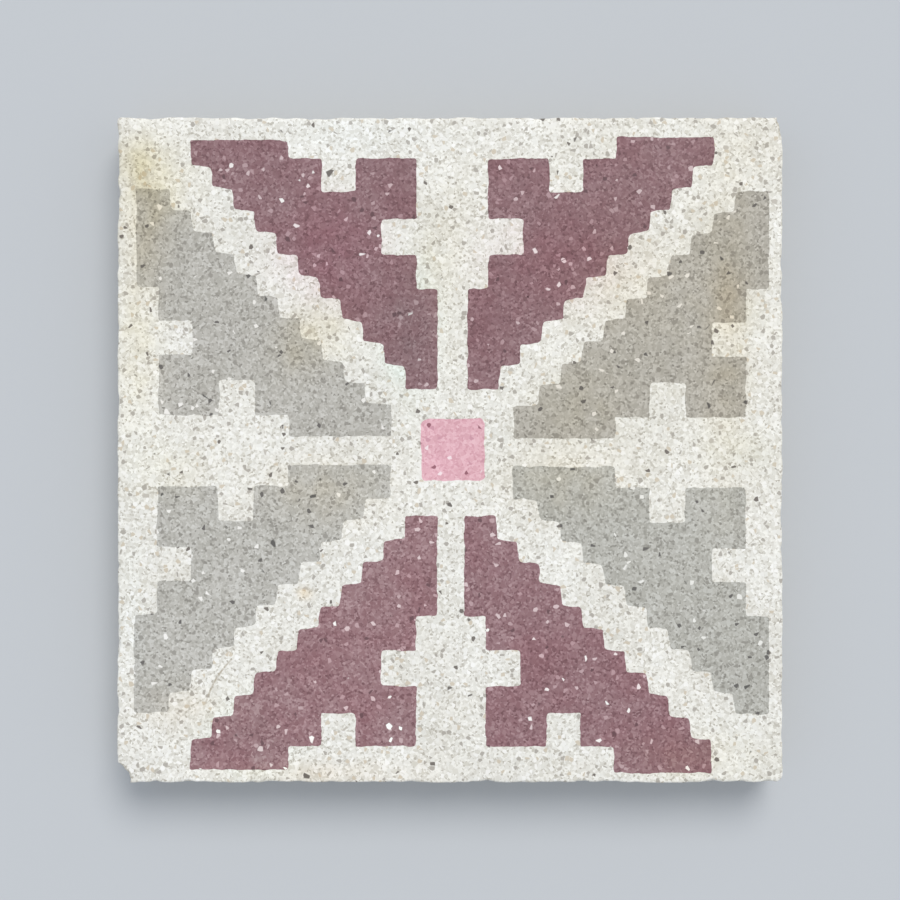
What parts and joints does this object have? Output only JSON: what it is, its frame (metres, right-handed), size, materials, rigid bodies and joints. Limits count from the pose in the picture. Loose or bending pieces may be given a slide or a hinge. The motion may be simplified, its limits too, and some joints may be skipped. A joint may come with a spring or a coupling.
{
  "type": "decorative terrazzo floor tile",
  "caption": "Square pressed terrazzo floor tile with a stepped geometric pattern in coloured mixes, for laying in a floor or wall.",
  "frame": {"origin": "middle of the bed face, on the surface that the tile lies on", "axes": "+Z from the bed face to the wearing face; +X and +Y along the sides; the broken corner points to -X and -Y"},
  "size_m": [0.2, 0.2, 0.02],
  "materials": {
    "terrazzo": "honed marble grain terrazzo in cream, burgundy, grey and pink mixes, dulled by use"
  },
  "bodies": {
    "root": {"tile": "terrazzo"}
  },
  "joints": []
}
